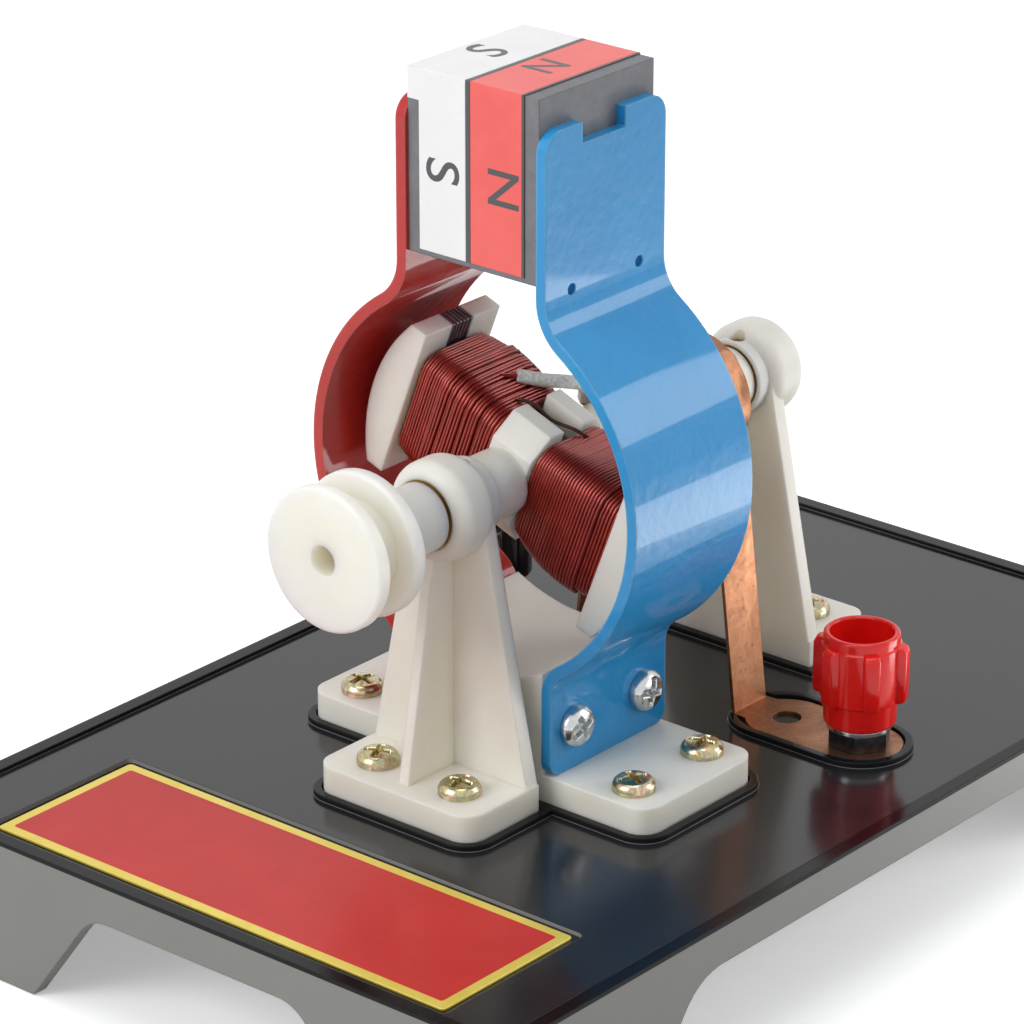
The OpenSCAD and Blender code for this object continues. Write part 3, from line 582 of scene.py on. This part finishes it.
def winding(rng, lift, slack, starts, steps=36):
    """Points along turns that lie side by side, lifted off the arm and as slack as they say."""
    run = []
    for u in starts:
        out = lift + rng.uniform(-slack, slack)
        lean = rng.uniform(-2, 2) * slack
        half_y, half_z = coil_half(u)
        for step in range(steps):
            t = step / steps
            y, z = turn_point(t, half_y + out, half_z + out, corner_r + out)
            sway = lean * math.sin(2 * math.pi * t) + 0.6 * slack * math.sin(6 * math.pi * t + u)
            run.append(Vector((u + pitch * t + sway, y, z)))
    return run


rng = random.Random(7)
hoops, around, inset = 9, 48, 0.12
under, over = 0.1, 0.5
for name, node, spin, slack, second in (
    # slack, then the second layer: where each bunch of turns starts, and how many it has; the
    # first coil's bunches are unruly and leave gaps
    ("coil_wire_a", "coil_a", 0, 0.055, ((3.4, 5), (6.2, 4), (8.6, 5), (11.6, 3))),
    ("coil_wire_b", "coil_b", 180, 0.018, ((3.4, 24),)),
):
    on_arm = arm_frame @ Matrix.Rotation(math.radians(spin), 4, "Y")
    form = bmesh.new()
    rows = []
    for hoop in range(hoops):
        u = coil_start - 0.1 + (coil_end - coil_start + 0.5) * hoop / (hoops - 1)
        half_y, half_z = coil_half(u)
        loop = [turn_point(step / around, half_y - inset, half_z - inset, corner_r)
                for step in range(around)]
        rows.append([form.verts.new(on_arm @ Vector((u, y, z))) for y, z in loop])
    for low, high in zip(rows, rows[1:]):
        for i in range(around):
            k = (i + 1) % around
            form.faces.new((low[i], low[k], high[k], high[i]))
    form.faces.new(rows[0][::-1])
    form.faces.new(rows[-1])
    inner = shown(f"{name}_inner_turns", form, shadowed, "rotor")
    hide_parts(node)

    wire = bpy.data.curves.new(name, "CURVE")
    wire.dimensions = "3D"
    wire.bevel_depth = wire_r / 1000
    wire.bevel_resolution = 1
    wire.use_fill_caps = True
    wire.materials.append(enamelled)
    count = int((coil_end - coil_start) / pitch)
    laid = [winding(rng, under, slack / 2, [coil_start + pitch * k for k in range(count + 1)])]
    for start, turns_on in second:
        starts = [start + pitch * (k + 0.5) for k in range(turns_on)]
        laid.append(winding(rng, over, slack, starts))
    for run in laid:
        line = wire.splines.new("POLY")
        line.points.add(len(run) - 1)
        for point, where in zip(line.points, run):
            point.co = (*((on_arm @ where) / 1000), 1)
    wound = bpy.data.objects.new(name, wire)
    bpy.context.scene.collection.objects.link(wound)
    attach(wound, "rotor")

# ---------- Coil ends ----------
# Each coil's end comes out through a woven glass sleeve and runs back beside the hub to its
# commutator tag, where it is soldered; a bare link over the hub joins the two coils.


def tube(name, points, radius, material, body):
    """A round wire or sleeve along smooth points."""
    path = bpy.data.curves.new(name, "CURVE")
    path.dimensions = "3D"
    path.bevel_depth = radius / 1000
    path.bevel_resolution = 4
    path.use_fill_caps = True
    path.materials.append(material)
    line = path.splines.new("BEZIER")
    line.bezier_points.add(len(points) - 1)
    for knot, where in zip(line.bezier_points, points):
        knot.co = Vector(where) / 1000
        knot.handle_left_type = knot.handle_right_type = "AUTO"
    line.resolution_u = 8
    made = bpy.data.objects.new(name, path)
    bpy.context.scene.collection.objects.link(made)
    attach(made, body)
    return made


glass_sleeve, tree, skin, place = finish_of("woven_glass_sleeve", IOR=1.45, Roughness=0.4, **{
    "Subsurface Weight": 0.3, "Subsurface Scale": 0.001})
weave = add(tree, "TexVoronoi", {"Vector": place, "Scale": per_mm(0.45)})
tone = add(tree, "Mix", {0: weave.outputs[0], 6: linear("#e9eae4"), 7: linear("#b9bbb0")},
           data_type="RGBA")
tree.links.new(tone.outputs[2], skin.inputs["Base Color"])
relief(tree, skin, weave.outputs[0], 0.08, strength=0.8)

solder, tree, skin, place = finish_of("soldered_joint_with_rosin", Metallic=0.9, Roughness=0.25)
rosin = add(tree, "TexNoise", {"Vector": place, "Scale": per_mm(1.2), "Detail": 3})
tone = add(tree, "Mix", {0: rosin.outputs[0], 6: linear("#a2762f"), 7: linear("#e3cf98")},
           data_type="RGBA")
tree.links.new(tone.outputs[2], skin.inputs["Base Color"])
relief(tree, skin, rosin.outputs[0], 0.12, strength=0.7)

# places beside the arm of the coil: along it, towards the commutator and across it
in_coil, at_tag, tag_middle = (9.4, -0.6, -8.5), (9.5, 21.9, 3.2), Vector((9.3, 21.9, 3.1))
route = [(8.2, 1.2, -8.7), (5.8, 3.8, -8.75), (3.9, 6.6, -8.8), (3.4, 9.3, -7.9),
         (4.6, 12.6, -5.2), (6.8, 17.0, -1.2), (8.6, 20.3, 1.9)]
sleeve_r, lead_r, blob_r = 0.95, 0.3, 1.3
for name, node, spin in (("lead_a", "coil_lead_a", 0), ("lead_b", "coil_lead_b", 180)):
    on_arm = arm_frame @ Matrix.Rotation(math.radians(spin), 4, "Y")
    outer = tube(f"{name}_sleeve", [on_arm @ Vector(p) for p in route], sleeve_r, glass_sleeve,
                 "rotor")
    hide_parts(node)
    tube(f"{name}_wire", [on_arm @ Vector(p) for p in [in_coil] + route + [at_tag]], lead_r,
         enamelled, "rotor")
    form = bmesh.new()
    bmesh.ops.create_icosphere(form, subdivisions=3, radius=blob_r)
    for vert in form.verts:
        lump = 1 + 0.22 * noise.noise(vert.co * 1.3 + Vector((spin, 0, 0)))
        vert.co = on_arm @ (tag_middle + Vector((
            vert.co.x * lump, vert.co.y * 0.7 * lump, vert.co.z * 0.75 * lump)))
    joint = shown(f"{name}_solder", form, solder, "rotor", smooth=80)

# the bare end of one winding crosses to the other in the groove between the hub's halves
link = [(5.2, -1.6, -7.9), (3.4, -0.9, -8.2), (0.0, -0.3, -7.6), (-3.4, 0.4, -8.1),
        (-5.2, 1.2, -7.8)]
# it takes the inner turns' near-black finish: painted shade of the groove
tube("link_wire", [arm_frame @ Vector(p) for p in link], 0.24, shadowed, "rotor")

# ---------- Commutator ----------
# Two half shells of copper tube on a nylon sleeve. Handling and sparks have tarnished them
# brown, with brighter clouds and small dark specks.

copper, tree, skin, place = finish_of("tarnished_copper", Metallic=1, Roughness=0.4)
cloud = add(tree, "TexNoise", {"Vector": place, "Scale": per_mm(5), "Detail": 7, "Roughness": 0.7,
                               "Distortion": 0.7})
speck = add(tree, "TexNoise", {"Vector": place, "Scale": per_mm(0.7), "Detail": 4,
                               "Roughness": 0.7})
tone = add(tree, "Mix", {0: cloud.outputs[0], 6: linear("#583527"), 7: linear("#c08a66")},
           data_type="RGBA")
spots = add(tree, "MapRange", {0: speck.outputs[0], 1: 0.55, 2: 0.72, 3: 0, 4: 0.55})
tone = add(tree, "Mix", {0: spots.outputs[0], 6: tone.outputs[2], 7: linear("#3d2318")},
           data_type="RGBA")
tree.links.new(tone.outputs[2], skin.inputs["Base Color"])
dull = add(tree, "MapRange", {0: cloud.outputs[0], 1: 0.3, 2: 0.7, 3: 0.52, 4: 0.3})
tree.links.new(dull.outputs[0], skin.inputs["Roughness"])
relief(tree, skin, speck.outputs[0], 0.03, edge=0.12, strength=0.6)
dress(copper, "commutator_segment_a", "commutator_segment_b")

# ---------- Brushes ----------
# Each brush is one stamped copper strip: its foot lies under the binding post, and its blade
# stands up and leans on the commutator. The copper is blotchy with finger marks.

dress(copper, "red_side_brush", "black_side_brush")

# ---------- Binding posts ----------
# A brass stud through the deck carries a dark hexagon nut, a bright washer and a knob.

stud_brass, tree, skin, place = finish_of("turned_brass", Metallic=1, Roughness=0.3)
thread_and_painted_shade = add(tree, "TexWave", {"Vector": place, "Scale": per_mm(0.7) / 20, "Distortion": 0},
             bands_direction="Z")
# the thread's roots are painted darker than its crests: painted shade
tone = add(tree, "Mix", {0: thread_and_painted_shade.outputs[1], 6: linear("#8a6f35"), 7: linear("#cdb06a")},
           data_type="RGBA")
tree.links.new(tone.outputs[2], skin.inputs["Base Color"])
relief(tree, skin, thread_and_painted_shade.outputs[1], 0.2)
dress(stud_brass, "terminal_studs")

dark_steel, tree, skin, place = finish_of("blackened_steel", Metallic=1, Roughness=0.3)
patch = add(tree, "TexNoise", {"Vector": place, "Scale": per_mm(1.5), "Detail": 5})
tone = add(tree, "Mix", {0: patch.outputs[0], 6: linear("#1f2226"), 7: linear("#74787d")},
           data_type="RGBA")
tree.links.new(tone.outputs[2], skin.inputs["Base Color"])
relief(tree, skin, patch.outputs[0], 0.03, edge=0.3, strength=0.6)
dress(dark_steel, "terminal_nuts")

nickel, tree, skin, place = finish_of("bright_nickel_plate", Metallic=1, Roughness=0.2)
patch = add(tree, "TexNoise", {"Vector": place, "Scale": per_mm(1.2), "Detail": 4})
tone = add(tree, "Mix", {0: patch.outputs[0], 6: linear("#aeb2b5"), 7: linear("#e2e4e5")},
           data_type="RGBA")
tree.links.new(tone.outputs[2], skin.inputs["Base Color"])
relief(tree, skin, patch.outputs[0], 0.02, edge=0.2, strength=0.5)
dress(nickel, "red_washer", "black_washer")

# ---------- Knobs ----------
# Glossy urea mouldings screwed on the studs: a deep cup in the top, blunt ribs for the
# fingers, a plain skirt below. One is red and one is black.


def revolve(form, profile, at=Matrix(), steps=72):
    """Adds a closed solid of revolution; the profile is a closed ring of (radius, height)."""
    rings = []
    for r, h in profile:
        if r < 1e-6:
            rings.append([form.verts.new(at @ Vector((0, 0, h)))] * steps)
            continue
        turn = [2 * math.pi * k / steps for k in range(steps)]
        rings.append([form.verts.new(at @ Vector((r * math.cos(a), r * math.sin(a), h)))
                      for a in turn])
    for low, high in zip(rings, rings[1:] + rings[:1]):
        for k in range(steps):
            n = (k + 1) % steps
            corners = list(dict.fromkeys((low[k], low[n], high[n], high[k])))
            if len(corners) > 2:
                form.faces.new(corners)


def rounded(points, radii, steps=5):
    """Rounds the corners of a closed profile by a radius for each."""
    out = []
    for i, (x, y) in enumerate(points):
        before, here = Vector(points[i - 1]), Vector((x, y))
        after = Vector(points[(i + 1) % len(points)])
        r = radii[i]
        if r == 0:
            out.append((x, y))
            continue
        to_a, to_b = (before - here).normalized(), (after - here).normalized()
        half = to_a.angle(to_b) / 2
        reach = r / math.tan(half)
        middle = here + (to_a + to_b).normalized() * r / math.sin(half)
        start, end = here + to_a * reach, here + to_b * reach
        for k in range(steps + 1):
            along = (start - middle).lerp(end - middle, k / steps).normalized() * r
            out.append(tuple(middle + along))
    return out


post_x, post_y = 33, 16.2
knob_z, knob_h = 23.62, 13.36
knob_top = knob_z + knob_h
bore_r, knob_r = 2.05, 5.2
rib_low, rib_high = knob_z + 3.7, knob_z + 11.9
rib_root, rib_out = 4.3, 1.35
# six ribs, in degrees: from one to the next, where the first is, half a rib and its rounded side
rib_apart, rib_at, rib_half, rib_side = 60, 20, 13.0, 4.0
edges = 180

for name, node, body, slot, side, deep, bright in (
    ("red_urea_moulded", "red_knob", "red_turn", "red_plastic", 1, "#dc0c0a", "#f0241c"),
    ("black_urea_moulded", "black_knob", "black_turn", "black_knob_plastic", -1, "#161618",
     "#26262a"),
):
    urea, tree, skin, place = finish_of(name, Roughness=0.14, IOR=1.46)
    flow = add(tree, "TexNoise", {"Vector": place, "Scale": per_mm(4), "Detail": 3})
    tone = add(tree, "Mix", {0: flow.outputs[0], 6: linear(deep), 7: linear(bright)},
               data_type="RGBA")
    tree.links.new(tone.outputs[2], skin.inputs["Base Color"])
    relief(tree, skin, flow.outputs[0], 0.05, strength=0.4)

    post = Matrix.Translation((post_x * side, post_y, 0))
    form = bmesh.new()
    ring = [(bore_r, knob_z), (4.95, knob_z), (5.05, knob_z + 3.6), (5.45, knob_z + 3.9),
            (5.45, knob_top - 1.7), (knob_r, knob_top - 1.5), (knob_r, knob_top),
            (4.35, knob_top), (4.0, knob_z + 7.5), (bore_r, knob_z + 7.4)]
    revolve(form, rounded(ring, (0.2, 0.6, 0.1, 0.1, 0.1, 0.1, 0.4, 0.35, 0.8, 0.2)), post)
    cup = shown(f"{node}_cup", form, urea, body, smooth=50)
    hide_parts(node)
    form = bmesh.new()
    outline = []
    for step in range(edges):
        a = math.radians(360 * step / edges)
        off = (math.degrees(a) - rib_at + rib_apart / 2) % rib_apart - rib_apart / 2
        lobe = max(0.0, min(1.0, (rib_half - abs(off)) / rib_side))
        r = knob_r + rib_out * lobe * lobe * (3 - 2 * lobe)
        outline.append((r * math.cos(a), r * math.sin(a)))
    levels = ((rib_low, 0.9), (rib_low + 0.2, 0.965), (rib_low + 0.6, 1), (rib_high - 0.8, 1),
              (rib_high - 0.25, 0.96), (rib_high, 0.88))
    rows = [[form.verts.new(post @ Vector((x * k, y * k, z))) for x, y in outline]
            for z, k in levels]
    for low, high in zip(rows, rows[1:]):
        for i in range(edges):
            n = (i + 1) % edges
            form.faces.new((low[i], low[n], high[n], high[i]))
    roots = [[form.verts.new(post @ Vector((rib_root * x / math.hypot(x, y),
                                            rib_root * y / math.hypot(x, y), z)))
              for x, y in outline] for z in (rib_low, rib_high)]
    for i in range(edges):
        n = (i + 1) % edges
        form.faces.new((roots[0][i], roots[0][n], rows[0][n], rows[0][i]))
        form.faces.new((rows[-1][i], rows[-1][n], roots[1][n], roots[1][i]))
        form.faces.new((roots[1][i], roots[1][n], roots[0][n], roots[0][i]))
    ribs = shown(f"{node}_ribs", form, urea, body, smooth=60)

# ---------- Screws ----------
# Pan head screws with a cross recess. Zinc plated and yellow passivated ones hold the white
# mouldings, with the greenish and pinkish sheen of that plating, and bright nickel plated ones
# hold the pole pieces.

zinc, tree, skin, place = finish_of("yellow_passivated_zinc", Metallic=1, Roughness=0.24)
film = add(tree, "TexNoise", {"Vector": place, "Scale": per_mm(1.6), "Detail": 3,
                              "Distortion": 1.2})
rainbow = add(tree, "ValToRGB", {0: film.outputs[0]})
stops = ((0.3, "#9c8c5c"), (0.42, "#cfbf92"), (0.5, "#96a688"), (0.58, "#cca38e"),
         (0.7, "#ded6b4"))
band = rainbow.color_ramp
while len(band.elements) < len(stops):
    band.elements.new(0.5)
for element, (at, code) in zip(band.elements, stops):
    element.position = at
    element.color = linear(code)
tree.links.new(rainbow.outputs[0], skin.inputs["Base Color"])
relief(tree, skin, film.outputs[0], 0.03, strength=0.5)

head_r, head_h = 2.9, 1.9
roll, roll_drop = 0.75, 0.62
cross_depth, cross_half, cross_reach, cross_side = 1.15, 0.52, 1.95, 0.2


def screw_head():
    """Dome of a pan head with its cross recess pressed in."""
    form = bmesh.new()
    rings, steps = 26, 96
    grid = []
    for ring in range(rings + 1):
        row = []
        r = head_r * ring / rings
        for step in range(steps):
            a = 2 * math.pi * step / steps
            x, y = r * math.cos(a), r * math.sin(a)
            edge = min(1.0, (head_r - r) / roll)
            top = head_h - 0.24 * (r / head_r) ** 2 * head_h - roll_drop * (1 - edge) ** 2.2
            wide = cross_half - 0.12 * r / head_r
            inside = max(min(wide - abs(x), cross_reach - abs(y)),
                         min(wide - abs(y), cross_reach - abs(x)))
            sunk = max(0.0, min(1.0, inside / cross_side))
            bowl = cross_depth * (1 - 0.25 * r / head_r)
            row.append(form.verts.new((x, y, top - bowl * sunk * sunk * (3 - 2 * sunk))))
            if r == 0:
                row = row * steps
                break
        grid.append(row)
    grid.append([form.verts.new((v.co.x, v.co.y, 0.02)) for v in grid[-1]])
    for low, high in zip(grid, grid[1:]):
        for k in range(steps):
            n = (k + 1) % steps
            form.faces.new(list(dict.fromkeys((low[k], low[n], high[n], high[k]))))
    form.faces.new(grid[-1][::-1])
    return form


# each screw was driven home to its own angle; the pole pieces' are in pairs like the holder's
foot_top = 24.3
bracket_x, bracket_ys = 7.1, (-36.4, 39.4)
holder_x, holder_y, holder_apart = 23.75, -13.7, 7.2
pole_x, pole_z = 13.6, 30.5
in_pairs = [(i, holder_y + j * holder_apart) for i in (-1, 1) for j in (-1, 1)]
for number, (x, y) in enumerate(
    [(i * bracket_x, v) for i in (-1, 1) for v in bracket_ys]
    + [(i * holder_x, v) for i, v in in_pairs]
):
    at = Matrix.Translation((x, y, foot_top))
    form = screw_head()
    bmesh.ops.transform(form, verts=form.verts, matrix=at
                        @ Matrix.Rotation(math.radians(23 + 37 * number), 4, "Z"))
    head = shown(f"foot_screw_{number}", form, zinc, "stand", smooth=50)
    if number == 0:
        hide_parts("foot_screws")

for number, (side, y) in enumerate(in_pairs):
    at = Matrix.Translation((pole_x * side, y, pole_z))
    form = screw_head()
    bmesh.ops.transform(form, verts=form.verts, matrix=at
                        @ Matrix.Rotation(math.radians(90 * side), 4, "Y")
                        @ Matrix.Rotation(math.radians(12 + 52 * number), 4, "Z"))
    head = shown(f"pole_screw_{number}", form, nickel, "stand", smooth=50)
    if number == 0:
        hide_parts("pole_screws")
